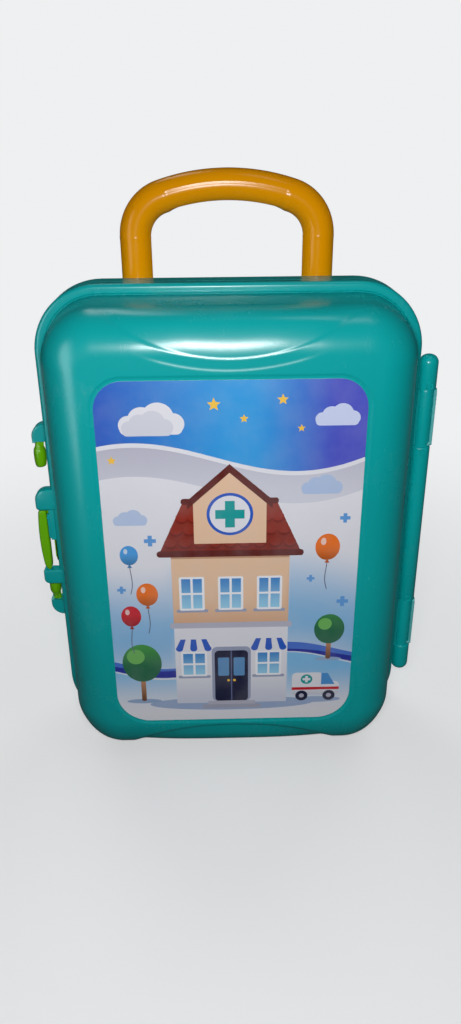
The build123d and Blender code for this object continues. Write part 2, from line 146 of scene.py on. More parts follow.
# ---- front shell, the lid ------------------------------------------------------------------------
# The front half, a domed polypropylene moulding with a plain rim. Its face has a shallow panel for
# the label, a pressed crescent below the top edge and a fainter one above the base. It's drawn as
# one closed skin, ring by ring from the meeting edge over the rim to the face, and back inside.
MM = 0.001
SIDE = 96.0
HEIGHT = 260.0
CORNER = 33.5
SEAM_Y = -0.15
RIM_Y = -7.0
FACE_Y = -43.0
WALL = 2.0
RIM_ROUND = 2.0
DRAFT = radians(5.0)
SLOPE = tan(DRAFT)
FILLET = 20.0
FILLET_REACH = tan(radians(42.5))
DOME_INSET = 4.7
FLAT_INSET = DOME_INSET - FACE_Y * SLOPE + FILLET * FILLET_REACH
DOME_END = radians(82.0)
SIDE_POINTS = (96, 112)
CORNER_POINTS = 36
WALL_RINGS, DOME_RINGS, FACE_RINGS, PANEL_RINGS, INNER_RINGS = 14, 72, 34, 9, 20

# The rim's front, from its rounded edge into the channel round the dome: inset and depth.
RIM_PROFILE = ((3.1, 0.0), (4.0, 0.02), (4.4, 0.12), (4.65, 0.4), (4.75, 0.75), (4.95, 0.95))

# The upper crescent. Each line has its half span, its height at the middle and its rise at the
# ends. Each form fades out over a span of distance from the middle and a span of height.
RIDGE = (52.0, 232.1, 15.0)
LOWER_LINE = (50.0, 226.8, 10.9)
UPTURN_FROM, UPTURN = 43.0, 0.073
ROUNDING_FOOT = 233.2
TILT_EASE, TILT_LEVEL, TILT_MOST = 0.12, 0.04, 0.9
PILLOW_RISE, PILLOW_LIFT, PILLOW_BOW = 0.05, 0.85, 60.0
PILLOW_FADES = (48.0, 59.0), (246.0, 254.0)
RIDGE_FADES = (53.0, 59.0), (248.0, 254.0)
LOWER_FADES = (31.0, 46.0), (242.0, 252.0)
RIDGE_STEP, LOWER_STEP = 0.2565, 0.27

# The crescent above the base: a crease that falls towards the sides, under a rounded lip.
CREASE_TOP, CREASE_FALL, CREASE_SPAN, CREASE_BEND = 23.0, 7.4, 47.0, 2.3
CREASE_DEPTH, CREASE_RUN, CREASE_FADE = 1.5, 13.0, (50.0, 58.0)
LIP_ROUND, LIP_REACH = 4.0, 2.8
BASE_DROP, DROP_FRONT, DROP_HEIGHT = 3.0, (8.0, 20.0), (9.0, 25.0)


def outline(half_width, low, high, low_corner, high_corner):
    """Points round an upright rounded rectangle, as many on every outline, as (x, z) rows."""
    points = []
    quarter = np.linspace(0.0, pi / 2, CORNER_POINTS, endpoint=False)
    corners = (
        (half_width - low_corner, low + low_corner, low_corner, -pi / 2, SIDE_POINTS[1]),
        (half_width - high_corner, high - high_corner, high_corner, 0.0, SIDE_POINTS[0]),
        (-half_width + high_corner, high - high_corner, high_corner, pi / 2, SIDE_POINTS[1]),
        (-half_width + low_corner, low + low_corner, low_corner, pi, SIDE_POINTS[0]),
    )
    for i, (x, z, radius, start, along) in enumerate(corners):
        turn = start + quarter
        points.append(np.stack([x + radius * np.cos(turn), z + radius * np.sin(turn)], 1))
        end = start + pi / 2
        first = np.array([x + radius * cos(end), z + radius * sin(end)])
        nx, nz, next_radius, next_start, _ = corners[(i + 1) % 4]
        last = np.array([nx + next_radius * cos(next_start), nz + next_radius * sin(next_start)])
        share = np.linspace(0.0, 1.0, along, endpoint=False)[:, None]
        points.append(first + (last - first) * share)
    return np.concatenate(points)


def case_ring(inset, y):
    """The case's outline shrunk by inset, at depth y, as (x, y, z) rows."""
    flat = outline(SIDE - inset, inset, HEIGHT - inset, CORNER - inset, CORNER - inset)
    return np.stack([flat[:, 0], np.full(len(flat), y), flat[:, 1]], 1)


def skin(mesh, rows):
    """Faces between rows of points that run round, closed at both ends."""
    count = len(rows[0])
    for near, far in zip(rows, rows[1:]):
        for i in range(count):
            j = (i + 1) % count
            mesh.faces.new((near[i], near[j], far[j], far[i]))
    mesh.faces.new(rows[0])
    mesh.faces.new(rows[-1])


def placed(mesh, points):
    """The mesh's new vertices at points given in millimetres."""
    return [mesh.verts.new([c * MM for c in point]) for point in points]


def rings_to_mesh(name, rings, material):
    """A closed skin through rings of equally many points."""
    mesh = bmesh.new()
    skin(mesh, [placed(mesh, ring) for ring in rings])
    return finished(name, mesh, material)


def finished(name, mesh, material, sharp_degrees=40.0):
    """The bmesh as an object with smooth faces and crisp edges where it turns sharply."""
    bmesh.ops.recalc_face_normals(mesh, faces=mesh.faces)
    for face in mesh.faces:
        face.smooth = True
    for edge in mesh.edges:
        if len(edge.link_faces) == 2 and edge.calc_face_angle() > radians(sharp_degrees):
            edge.smooth = False
    data = bpy.data.meshes.new(name)
    mesh.to_mesh(data)
    mesh.free()
    data.materials.append(material)
    piece = bpy.data.objects.new(name, data)
    bpy.context.scene.collection.objects.link(piece)
    return piece


def smooth_step(low, high, value):
    t = np.clip((value - low) / (high - low), 0.0, 1.0)
    return t * t * (3.0 - 2.0 * t)


def arc_height(x, half_span, low, sagitta):
    """Height of an arc that dips to low at the centre line and rises by sagitta at half_span."""
    radius = (half_span**2 + sagitta**2) / (2 * sagitta)
    return low + radius - np.sqrt(np.maximum(radius**2 - x**2, 0.0))


def face_recess(inset):
    """How far the domed skin lies behind the flat face, at a distance inset from the outline."""
    run = np.clip(FLAT_INSET - inset, 0.0, FILLET)
    return FILLET - np.sqrt(FILLET**2 - run**2)


def fade_out(x, z, spans):
    """1 near the middle of the face, 0 past the spans of distance and height."""
    return (1 - smooth_step(*spans[1], z)) * (1 - smooth_step(*spans[0], np.abs(x)))


def upper_crescent(x, z):
    """How far the face sinks at its two pressed lines, and swells (negative) above the ridge."""
    ridge = arc_height(x, *RIDGE)
    upturn = np.maximum(np.abs(x) - UPTURN_FROM, 0.0)
    lower_line = arc_height(x, *LOWER_LINE) + UPTURN * upturn**2
    above = np.maximum(z - ridge, 0.0)
    up_the_rounding = (ridge - ROUNDING_FOOT) / FILLET
    tilt = 0.5 * (up_the_rounding + np.hypot(up_the_rounding, TILT_EASE))
    tilt = np.minimum(tilt, TILT_MOST)
    start_slope = PILLOW_RISE + PILLOW_LIFT * (tilt - TILT_LEVEL) / np.sqrt(1 - tilt**2)
    bowed = face_recess(HEIGHT - ridge) + start_slope * above + above**2 / PILLOW_BOW
    lean = np.sqrt(1 - np.clip((z - ROUNDING_FOOT) / FILLET, 0.0, 0.97) ** 2)
    pillow = np.where(z > ridge, bowed - face_recess(HEIGHT - z), 0.0) * lean
    pillow *= fade_out(x, z, PILLOW_FADES)
    ridge_step = RIDGE_STEP * smooth_step(-0.95, 0.85, z - ridge) * fade_out(x, z, RIDGE_FADES)
    lower_step = LOWER_STEP * smooth_step(-1.0, 1.0, z - lower_line) * fade_out(x, z, LOWER_FADES)
    return pillow + ridge_step + lower_step


def base_crescent(x, z):
    """How far the face sinks under the crease above the base and curls in at its lip."""
    off_centre = np.abs(x)
    below = CREASE_TOP - CREASE_FALL * (off_centre / CREASE_SPAN) ** CREASE_BEND - z
    curl = np.clip(LIP_REACH + below, 0.0, LIP_REACH)
    lip = LIP_ROUND - np.sqrt(LIP_ROUND**2 - curl**2)
    hollow = CREASE_DEPTH * (1 - smooth_step(0.0, CREASE_RUN, below))
    return np.where(below < 0, lip, hollow) * (1 - smooth_step(*CREASE_FADE, off_centre))


def lowered(ring):
    """The ring with the dome's foot brought down, so that it hangs in front of the rim's foot."""
    forward = smooth_step(*DROP_FRONT, -ring[..., 1])
    near_base = 1 - smooth_step(*DROP_HEIGHT, ring[..., 2])
    ring[..., 2] -= BASE_DROP * forward * near_base
    return ring


def skin_normals(grid):
    """Outward normals of a grid of rings."""
    along = np.roll(grid, -1, 1) - np.roll(grid, 1, 1)
    across = np.gradient(grid, axis=0)
    normal = np.cross(along, across)
    normal /= np.linalg.norm(normal, axis=2, keepdims=True)
    return np.where(normal[:, :, 1:2] > 0, -normal, normal)


# The label: half width, foot, head, and the corners' radii at the foot and at the head.
LABEL = (63.75, 28.5, 222.5, 18.0, 14.0)
PANEL_MARGIN = 2.6
PANEL_SLANT = 1.7
PANEL_DEPTH = 0.5


def label_ring(margin, y):
    """The label's outline widened by margin, at depth y, as (x, y, z) rows."""
    half_width, low, high, low_corner, high_corner = LABEL
    flat = outline(
        half_width + margin,
        low - margin,
        high + margin,
        low_corner + margin,
        high_corner + margin,
    )
    return np.stack([flat[:, 0], np.full(len(flat), y), flat[:, 1]], 1)


def dome_rings():
    """The rounding from the wall to the face and the face itself, with its pressed crescents."""
    centre_y = FACE_Y + FILLET
    dome = []
    for turn in np.linspace(DRAFT, DOME_END, DOME_RINGS):
        dome.append(case_ring(FLAT_INSET - FILLET * cos(turn), centre_y - FILLET * sin(turn)))
    panel_edge = label_ring(PANEL_MARGIN, FACE_Y)
    last = dome[-1]
    for share in np.linspace(0.0, 1.0, FACE_RINGS)[1:]:
        ring = last + (panel_edge - last) * share
        over_x = np.abs(ring[:, 0]) - (SIDE - CORNER)
        over_z = np.abs(ring[:, 2] - HEIGHT / 2) - (HEIGHT / 2 - CORNER)
        outside = np.hypot(np.maximum(over_x, 0.0), np.maximum(over_z, 0.0))
        inset = CORNER - outside - np.minimum(np.maximum(over_x, over_z), 0.0)
        ring[:, 1] = FACE_Y + face_recess(inset)
        dome.append(ring)
    grid = np.array(dome)
    x, z = grid[:, :, 0], grid[:, :, 2]
    sink = upper_crescent(x, z) + base_crescent(x, z)
    return list(lowered(grid - skin_normals(grid) * sink[:, :, None]))


def outer_rings():
    """The outside, from the meeting edge over the rim and the dome to the panel's floor."""
    rings = [case_ring(0.35, SEAM_Y), case_ring(0.1, SEAM_Y - 0.1), case_ring(0.0, SEAM_Y - 0.35)]
    rings.append(case_ring(0.0, RIM_Y + RIM_ROUND))
    for turn in np.linspace(0.0, pi / 2, 9)[1:]:
        inset = RIM_ROUND - RIM_ROUND * cos(turn)
        rings.append(case_ring(inset, RIM_Y + RIM_ROUND - RIM_ROUND * sin(turn)))
    wall_foot = DOME_INSET - RIM_Y * SLOPE
    for inset, depth in (*RIM_PROFILE, (wall_foot - 0.1, 0.85), (wall_foot + 0.05, 0.3)):
        rings.append(case_ring(inset, RIM_Y + depth))
    wall_end = FACE_Y + FILLET - FILLET * sin(DRAFT)
    for y in np.linspace(RIM_Y - 0.6, wall_end, WALL_RINGS, endpoint=False):
        rings.append(lowered(case_ring(DOME_INSET - y * SLOPE, y)))
    rings += dome_rings()
    for share in np.linspace(0.0, 1.0, PANEL_RINGS)[1:]:
        deep = PANEL_DEPTH * share * share * (3 - 2 * share)
        rings.append(label_ring(PANEL_MARGIN - PANEL_SLANT * share, FACE_Y + deep))
    rings.append(label_ring(-4.0, FACE_Y + PANEL_DEPTH))
    return rings


def inner_rings():
    """The inside, one wall's thickness in, from the meeting edge to behind the face."""
    step_y = RIM_Y + WALL
    inner_fillet = FILLET - WALL
    inner_face = FACE_Y + WALL
    flat_inset = DOME_INSET + WALL - inner_face * SLOPE + inner_fillet * FILLET_REACH
    rings = [case_ring(WALL, SEAM_Y), case_ring(WALL, step_y)]
    rings.append(case_ring(DOME_INSET + WALL - step_y * SLOPE, step_y))
    for turn in np.linspace(DRAFT, pi / 2, INNER_RINGS):
        inset = flat_inset - inner_fillet * cos(turn)
        rings.append(case_ring(inset, inner_face + inner_fillet * (1 - sin(turn))))
    return rings


lid_shell = rings_to_mesh("lid_shell", inner_rings()[::-1] + outer_rings(), teal_plastic)
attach(lid_shell, "lid")
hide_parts("front_shell")


# ---- hinge barrel --------------------------------------------------------------------------------
# Three knuckles on one pin, moulded with the front shell along its right side and joined to the rim
# by thin webs. The pin snaps into the two clips of the rear shell. The ends are rounded over, and a
# small framed mark of the mould's core shows beside each clip.
# The barrel's teal is lighter than the shells' teal. This is painted light, as if the lamps lit its
# front more brightly.
PAINTED_LIGHTER_TEAL = (0.002, 0.42, 0.425)
HINGE_AXIS = (101.7, 0.0)
HINGE_MIDDLE = 126.7
HINGE_LOW, HINGE_HIGH = HINGE_MIDDLE - 96.0, HINGE_MIDDLE + 96.0
CLIP_NEAR, CLIP_FAR = 47.2, 78.5
CLIPS = (
    (HINGE_MIDDLE - CLIP_FAR, HINGE_MIDDLE - CLIP_NEAR),
    (HINGE_MIDDLE + CLIP_NEAR, HINGE_MIDDLE + CLIP_FAR),
)
KNUCKLE = 4.9
KNUCKLE_ROUND = 0.9
END_ROUND = 4.2
PIN = 3.8
WEB_X, WEB_Y = (94.6, HINGE_AXIS[0]), (-1.75, -0.15)
WEB_END = 3.2
MARK_LEFT, MARK_RIGHT = HINGE_AXIS[0] - 0.9, HINGE_AXIS[0] + 1.5
MARK_BAR = 0.5
MARKS = (
    (HINGE_MIDDLE + CLIP_FAR + 0.35, HINGE_MIDDLE + CLIP_FAR + 3.6),
    (HINGE_MIDDLE + CLIP_NEAR - 4.2, HINGE_MIDDLE + CLIP_NEAR - 1.0),
    (HINGE_MIDDLE - CLIP_NEAR + 0.35, HINGE_MIDDLE - CLIP_NEAR + 3.6),
)


def turned(mesh, axis, profile, points=64):
    """Adds a solid turned about an upright axis; profile is (radius, z) rows, from end to end."""
    turns = np.linspace(0.0, 2 * pi, points, endpoint=False)
    rows = []
    for radius, z in profile:
        ring = [(axis[0] + radius * cos(t), axis[1] + radius * sin(t), z) for t in turns]
        rows.append(placed(mesh, ring))
    skin(mesh, rows)


def rounded_rectangle(x_low, x_high, z_low, z_high, radii, points=9):
    """Points round a rectangle; radii go from its right foot round to its left foot."""
    loop = []
    for x, z, start, radius in zip(
        (x_high, x_high, x_low, x_low),
        (z_low, z_high, z_high, z_low),
        (-pi / 2, 0.0, pi / 2, pi),
        radii,
    ):
        radius = max(radius, 0.02)
        cx = x - radius if x == x_high else x + radius
        cz = z - radius if z == z_high else z + radius
        for turn in start + np.linspace(0.0, pi / 2, points):
            loop.append((cx + radius * cos(turn), cz + radius * sin(turn)))
    return loop


def pad(mesh, x_span, y_span, z_span, edge, radii=None, steps=5):
    """Adds a block with its corners rounded by radii and its front and back edges by edge."""
    radii = radii or (edge,) * 4
    front, back = y_span
    rows = []
    for side, direction in ((front, 1), (back, -1)):
        turns = np.linspace(0.0, pi / 2, steps)
        for turn in turns if direction == 1 else turns[::-1]:
            inset = edge * (1 - sin(turn))
            loop = rounded_rectangle(
                x_span[0] + inset,
                x_span[1] - inset,
                z_span[0] + inset,
                z_span[1] - inset,
                [radius - inset for radius in radii],
            )
            y = side + direction * edge * (1 - cos(turn))
            rows.append(placed(mesh, [(x, y, z) for x, z in loop]))
    skin(mesh, rows)


def rounded_end(z, inward):
    """Profile rows that close the barrel's end at height z; inward is +1 or -1 along Z."""
    rows = [(0.05 * KNUCKLE, z)]
    for turn in np.linspace(pi / 2, 0.0, 12):
        radius = KNUCKLE - END_ROUND * (1 - cos(turn))
        rows.append((radius, z + inward * END_ROUND * (1 - sin(turn))))
    return rows


barrel_rows = rounded_end(HINGE_LOW, 1)
for clip_low, clip_high in CLIPS:
    for turn in np.linspace(0.0, pi / 2, 6):
        radius = KNUCKLE - KNUCKLE_ROUND * (1 - cos(turn))
        barrel_rows.append((radius, clip_low - KNUCKLE_ROUND * (1 - sin(turn))))
    barrel_rows += [
        (PIN, clip_low + 0.02),
        (PIN, clip_high - 1.6),
        (PIN - 0.12, clip_high - 0.9),
        (PIN - 0.4, clip_high - 0.3),
        (PIN - 0.6, clip_high - 0.02),
        (KNUCKLE - 0.25, clip_high),
        (KNUCKLE - 0.07, clip_high + 0.07),
        (KNUCKLE, clip_high + 0.25),
    ]
barrel_rows += reversed(rounded_end(HINGE_HIGH, -1))
barrel = bmesh.new()
turned(barrel, HINGE_AXIS, barrel_rows)
for foot, head in (
    (HINGE_LOW + WEB_END, CLIPS[0][0]),
    (CLIPS[0][1], CLIPS[1][0]),
    (CLIPS[1][1], HINGE_HIGH - WEB_END),
):
    pad(barrel, WEB_X, WEB_Y, (foot, head), 0.3)
for low, high in MARKS:
    across = (MARK_LEFT - 0.3, MARK_RIGHT + 0.3)
    for x_span, z_span, proud in (
        ((MARK_LEFT - MARK_BAR, MARK_LEFT), (low, high), 0.42),
        ((MARK_RIGHT, MARK_RIGHT + MARK_BAR), (low, high), 0.42),
        (across, (high - 0.03 - MARK_BAR, high - 0.03), 0.39),
        (across, (low + 0.03, low + 0.03 + MARK_BAR), 0.39),
    ):
        pad(barrel, x_span, (-KNUCKLE - proud, -3.0), z_span, 0.1, steps=3)
# Painted light: the barrel gets a lighter copy of the shells' teal plastic.
painted_lighter_teal = polypropylene("teal_polypropylene_painted_lighter", PAINTED_LIGHTER_TEAL, RUBBED_TEAL, SHELL_ROUGHNESS)
hinge_barrel = finished("hinge_barrel", barrel, painted_lighter_teal)
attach(hinge_barrel, "lid")
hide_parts("front_shell")


# ---- lips of the hinge clips and hoods -----------------------------------------------------------
# Small edges of the rear shell's moulding: a rough bead along the outer lip of each snap clip,
# which ends in a nib, and a short tooth under the outer wall of each hood of the clasp.
# The lips and teeth are a paler teal than the shell. This is a painted highlight along the lip's
# edge.
SHEEN_LIP_TEAL, RUBBED_LIP_TEAL = (0.14, 0.55, 0.555), (0.5, 0.75, 0.75)
LIP_X, LIP_Y = 106.28, -1.75
LIP_RADIUS, NIB_RADIUS = 0.74, 0.72
MID = HEIGHT / 2
TOOTH_X, TOOTH_Y = (-SIDE - 8.3, -SIDE - 6.6), (0.9, 7.9)
TOOTH_LOW, TOOTH_HIGH = 47.7, 49.4


def bead(mesh, line, radius):
    """Adds a thin rod through the points of line, a little uneven in thickness."""
    rows = []
    for i, (x, y, z) in enumerate(line):
        here = radius * (1 + 0.14 * sin(2.1 * i) * cos(0.7 * i))
        if i in (0, len(line) - 1):
            here *= 0.4
        ring = [(x + here * cos(t), y + here * sin(t), z) for t in np.linspace(0, 2 * pi, 13)[:-1]]
        rows.append(placed(mesh, ring))
    skin(mesh, rows)


lips = bmesh.new()
for clip_low, clip_high in CLIPS:
    heights = np.arange(clip_low + 0.3, clip_high - 0.2, 0.55)
    bead(lips, [(LIP_X, LIP_Y, z) for z in heights], LIP_RADIUS)
    nib = [(106.3 - 0.5 * k, -1.6 - 0.12 * k, clip_low + 2.4 - 0.55 * k) for k in range(5)]
    bead(lips, nib, NIB_RADIUS)
for low, high in ((MID + TOOTH_LOW, MID + TOOTH_HIGH), (MID - TOOTH_HIGH, MID - TOOTH_LOW)):
    pad(lips, TOOTH_X, TOOTH_Y, (low, high), 0.35)
# Painted highlight: a paler teal plastic for the lips and teeth.
sheen_lip_teal = polypropylene("lip_teal_painted_sheen", SHEEN_LIP_TEAL, RUBBED_LIP_TEAL, 0.3)
shell_lips = finished("shell_lips", lips, sheen_lip_teal)
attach(shell_lips, "case")


# ---- hoods, catch and feet of the front shell ----------------------------------------------------
# Two hoods stand out of the lid's left rim above and below the finger lever, and a low catch rib
# runs between them for the clasp to snap over. Two feet stand under the base. All are moulded with
# the lid.
HOOD_X, HOOD_Y = (-SIDE - 8.8, -SIDE + 6.6), (-7.06, -0.3)
UPPER_HOOD, LOWER_HOOD = (MID + 11.8, MID + 24.2), (MID - 33.2, MID - 24.7)
CATCH_BLOCKS = (
    ((-SIDE - 2.3, -SIDE + 1.0), (-6.15, -3.15), (MID - 6.0, MID + 12.4), 0.35),
    ((-SIDE - 3.4, -SIDE - 2.0), (-5.9, -3.4), (MID - 5.2, MID + 9.4), 0.3),
    ((-SIDE - 3.5, -SIDE - 1.7), (-6.4, -3.6), (MID + 6.6, MID + 8.2), 0.3),
)
FOOT_X, FOOT_HALF = 45.0, 13.0
FOOT_Y, FOOT_Z, FOOT_ROUND = (-22.0, -1.0), (0.0, 8.0), 1.2

hoods = bmesh.new()
pad(hoods, HOOD_X, HOOD_Y, UPPER_HOOD, 1.5, (1.5, 1.5, 6.2, 2.2))
pad(hoods, HOOD_X, HOOD_Y, LOWER_HOOD, 0.9, (0.9, 0.9, 1.0, 2.8))
lid_hoods = finished("lid_hoods", hoods, teal_plastic, 50.0)
catch = bmesh.new()
for block in CATCH_BLOCKS:
    pad(catch, *block)
lid_catch = finished("lid_catch", catch, teal_plastic)
feet = bmesh.new()
for centre in (-FOOT_X, FOOT_X):
    pad(feet, (centre - FOOT_HALF, centre + FOOT_HALF), FOOT_Y, FOOT_Z, FOOT_ROUND)
lid_feet = finished("lid_feet", feet, teal_plastic)
for piece in (lid_hoods, lid_catch, lid_feet):
    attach(piece, "lid")
    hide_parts("front_shell")


# ---- front label ---------------------------------------------------------------------------------
# A sheet of printed film with a satin coat, stuck in the shallow panel of the front shell. Its
# print is a toy hospital under a blue sky with a light blue wave across the foot. The print is cut
# into the mesh as coloured shapes, so its edges stay crisp.
LABEL_FRONT = -42.85
LABEL_BACK = -42.5
BARE_FILM = (0.7, 0.7, 0.72, 1.0)


def ink(red, green, blue):
    """A printing colour from its 0 to 255 values, as linear light."""
    return tuple((v / 255) ** 2.2 for v in (red, green, blue))


def fade(low_z, low_colour, high_z, high_colour):
    """An ink that changes with height from one colour to another."""

    def at(x, z):
        share = min(max((z - low_z) / (high_z - low_z), 0.0), 1.0)
        share = share * share * (3 - 2 * share)
        return tuple(a + (b - a) * share for a, b in zip(low_colour, high_colour))

    return at


def disc(x, z, radius, squeeze=1.0, points=44):
    turns = np.linspace(0.0, 2 * pi, points, endpoint=False)
    return [(x + radius * cos(t), z + radius * squeeze * sin(t)) for t in turns]


def panel(x, z, width, height, corner=0.0):
    """A rectangle centred at x with its foot at z, its corners rounded by corner."""
    half = width / 2
    if corner == 0:
        return [(x - half, z), (x + half, z), (x + half, z + height), (x - half, z + height)]
    points = []
    for cx, cz, start in (
        (x + half - corner, z + corner, -pi / 2),
        (x + half - corner, z + height - corner, 0.0),
        (x - half + corner, z + height - corner, pi / 2),
        (x - half + corner, z + corner, pi),
    ):
        for turn in start + np.linspace(0.0, pi / 2, 7):
            points.append((cx + corner * cos(turn), cz + corner * sin(turn)))
    return points


def strip(low, high):
    """The area between two height functions of x, all across the label."""
    across = np.linspace(-70.0, 70.0, 64)
    return [(x, low(x)) for x in across] + [(x, high(x)) for x in across[::-1]]


def cross_shape(x, z, reach, half_bar):
    corners = [(half_bar, reach), (half_bar, half_bar), (reach, half_bar)]
    points = []
    for quarter in range(4):
        for across, up in corners:
            for _ in range(quarter):
                across, up = up, -across
            points.append((x + across, z + up))
    return points[::-1]


def star_shape(x, z, radius):
    points = []
    for i in range(10):
        turn = pi / 2 + i * pi / 5
        reach = radius if i % 2 == 0 else 0.45 * radius
        points.append((x + reach * cos(turn), z + reach * sin(turn)))
    return points


def cloud(x, z, size, colour):
    puffs = ((-1.15, 0.05, 0.5), (-0.5, 0.3, 0.68), (0.3, 0.4, 0.8), (1.05, 0.1, 0.55))
    shapes = [(disc(x + a * size, z + b * size, r * size), colour) for a, b, r in puffs]
    foot = panel(x - 0.05 * size, z - 0.45 * size, 3.1 * size, 0.62 * size, 0.3 * size)
    return [*shapes, (foot, colour)]


def balloon(x, z, radius, colour, sway):
    """A balloon with its knot, a curved string and a pale shine."""
    foot = z - 1.2 * radius
    string = []
    for side in (-0.22, 0.22):
        line = [
            (x + side + sway * sin(drop / 5.0) * drop / 14.0, foot - drop)
            for drop in np.linspace(0.0, 17.0, 14)
        ]
        string += line if side < 0 else line[::-1]
    knot = [(x - 1.3, foot - 1.6), (x + 1.3, foot - 1.6), (x, foot + 0.6)]
    pale = tuple(0.45 * c + 0.5 for c in colour)
    deep = tuple(0.55 * c for c in colour)
    return [
        (string, ink(90, 95, 120)),
        (knot, deep),
        (disc(x, z, radius, 1.2), fade(z - 1.2 * radius, deep, z + 0.2 * radius, colour)),
        (disc(x - 0.35 * radius, z + 0.5 * radius, 0.22 * radius, 1.5, 20), pale),
    ]


def window(x, z, width, height):
    """A window with a white frame, a sill and four panes."""
    glass = fade(z, ink(150, 205, 235), z + height, ink(60, 130, 200))
    shapes = [
        (panel(x, z - 1.2, width + 3.4, 1.8, 0.6), SILL),
        (panel(x, z, width, height, 1.0), ink(236, 238, 245)),
    ]
    pane_width, pane_height = (width - 3.6) / 2, (height - 3.6) / 2
    for side in (-1, 1):
        for row in (0, 1):
            pane_x = x + side * (pane_width + 1.2) / 2
            pane_z = z + 1.2 + row * (pane_height + 1.2)
            shapes.append((panel(pane_x, pane_z, pane_width, pane_height), glass))
    return shapes


WHITE, PALE, GREY = ink(222, 223, 232), ink(205, 207, 220), ink(178, 178, 196)
NAVY, BLUE, VIOLET = ink(25, 28, 60), ink(38, 88, 190), ink(72, 80, 190)
CYAN, TEAL, LEAF = ink(48, 150, 220), ink(0, 150, 150), ink(70, 150, 70)
BRICK, DEEP_BRICK, CREAM = ink(122, 38, 26), ink(92, 26, 18), ink(226, 190, 160)
TAN, ORANGE, RED = ink(200, 140, 100), ink(232, 112, 30), ink(196, 28, 44)
GOLD, SHADOW, SILL = ink(240, 190, 60), ink(150, 170, 205), ink(150, 158, 185)
DOOR_GLASS = ink(90, 140, 190)


def sky_ink(x, z):
    """The top band: royal blue at the left, bright in the middle and violet at the right."""
    left = min(max((x + 62) / 60, 0.0), 1.0)
    right = min(max((x - 12) / 36, 0.0), 1.0)
    colour = [a + (b - a) * left for a, b in zip(BLUE, CYAN)]
    return tuple(a + (b - a) * right for a, b in zip(colour, VIOLET))


def field_ink(x, z):
    """Off-white, with a soft light blue haze that lies in a wave across the foot."""
    middle = 88 + 7 * sin((x + 10) / 22)
    haze = max(0.0, 1 - ((z - middle) / (46 if z > middle else 30)) ** 2) ** 1.5
    return tuple(a + (b - a) * 0.85 * haze for a, b in zip(WHITE, ink(105, 172, 222)))


def top_wave(shift):
    return lambda x: 186 + shift - 13 * sin((x + 8) / 31) + 0.12 * x


def foot_wave(level, swing):
    return lambda x: level + swing * sin((x + 4) / 19) + 0.05 * x


print_shapes = [
    (strip(lambda x: 20, lambda x: 230), field_ink),
    (strip(top_wave(-17), top_wave(0)), fade(160, PALE, 196, GREY)),
    (strip(top_wave(-2.2), top_wave(0)), WHITE),
    (strip(top_wave(0), lambda x: 230), sky_ink),
    (strip(foot_wave(68, 5), foot_wave(71.5, 6.5)), ink(70, 110, 200)),
    (strip(foot_wave(65.5, 6.5), foot_wave(68.5, 5)), ink(36, 48, 150)),
    (strip(lambda x: 20, foot_wave(64.5, 6.8)), fade(34, WHITE, 66, ink(120, 182, 228))),
]
for x, z, size, colour in (
    (-37, 201, 9.5, WHITE),
    (-39, 199.5, 7.5, PALE),
    (50, 203, 6.5, ink(196, 206, 238)),
    (44, 168, 6.2, ink(170, 190, 224)),
    (-50, 152, 5.2, ink(176, 194, 226)),
):
    print_shapes += cloud(x, z, size, colour)
for x, z, radius in (
    (-8, 211, 3.4),
    (6, 204, 2.2),
    (24, 213, 2.8),
    (-57, 184, 2.4),
    (33, 199, 2.0),
):
    print_shapes.append((star_shape(x, z, radius), GOLD))
for x, z, reach in (
    (-41, 141, 3.0),
    (56, 152, 2.6),
    (-57, 113, 2.2),
    (57, 104, 3.0),
    (40, 118, 2.0),
):
    print_shapes.append((cross_shape(x, z, reach, 0.36 * reach), ink(90, 150, 215)))

print_shapes.append((disc(-1, 39.5, 45, 0.1), SHADOW))
for x, z, tall, crown in ((-49, 42, 20, 10.5), (51, 68, 15, 8.0)):
    leaves = fade(z + tall, ink(30, 100, 70), z + 40, LEAF)
    print_shapes += [
        (disc(x, z, 0.9 * crown, 0.16), ink(140, 165, 200)),
        (panel(x, z, 2.6, tall, 1.0), fade(z, ink(110, 70, 45), z + tall, TAN)),
        (disc(x, z + tall + 0.5 * crown, crown, 1.15), leaves),
        (disc(x - 0.3 * crown, z + tall + 0.9 * crown, 0.45 * crown, 1.0), ink(105, 175, 90)),
    ]

print_shapes += [
    (panel(-1, 40, 60, 52), fade(40, ink(200, 205, 222), 62, WHITE)),
    (panel(-1, 90, 60, 44), fade(90, ink(212, 168, 136), 110, CREAM)),
    (panel(-1, 89, 64, 3.4, 1.2), GREY),
    (panel(-1, 130.5, 60, 3.5), ink(190, 145, 115)),
    ([(-37, 133), (35, 133), (22, 162), (-24, 162)], fade(133, BRICK, 162, ink(140, 50, 34))),
    (panel(-1, 131.5, 74, 3.6, 1.6), DEEP_BRICK),
    (panel(-1, 160.5, 48, 3.2, 1.4), DEEP_BRICK),
]
for row in range(3):
    foot = 138.5 + 7 * row
    for i in range(9):
        x = -1 + (30.0 - 3.1 * row) * (i - 4) / 4
        print_shapes.append((disc(x, foot, 3.1, 0.8, 20), ink(104 + 6 * row, 32, 22)))
        print_shapes.append((disc(x, foot + 1.1, 3.0, 0.8, 20), ink(132 + 5 * row, 44, 30)))
print_shapes += [
    ([(-19, 139), (17, 139), (17, 162), (-1, 178.5), (-19, 162)], CREAM),
    ([(-22, 158), (-1, 177), (20, 158), (20, 162.5), (-1, 181.5), (-22, 162.5)], DEEP_BRICK),
    (disc(-1, 155, 11.5), BLUE),
    (disc(-1, 155, 10), WHITE),
    (cross_shape(-1, 155, 7.2, 2.4), TEAL),
]
for x in (-21, -1, 19):
    print_shapes += window(x, 100, 13, 20)
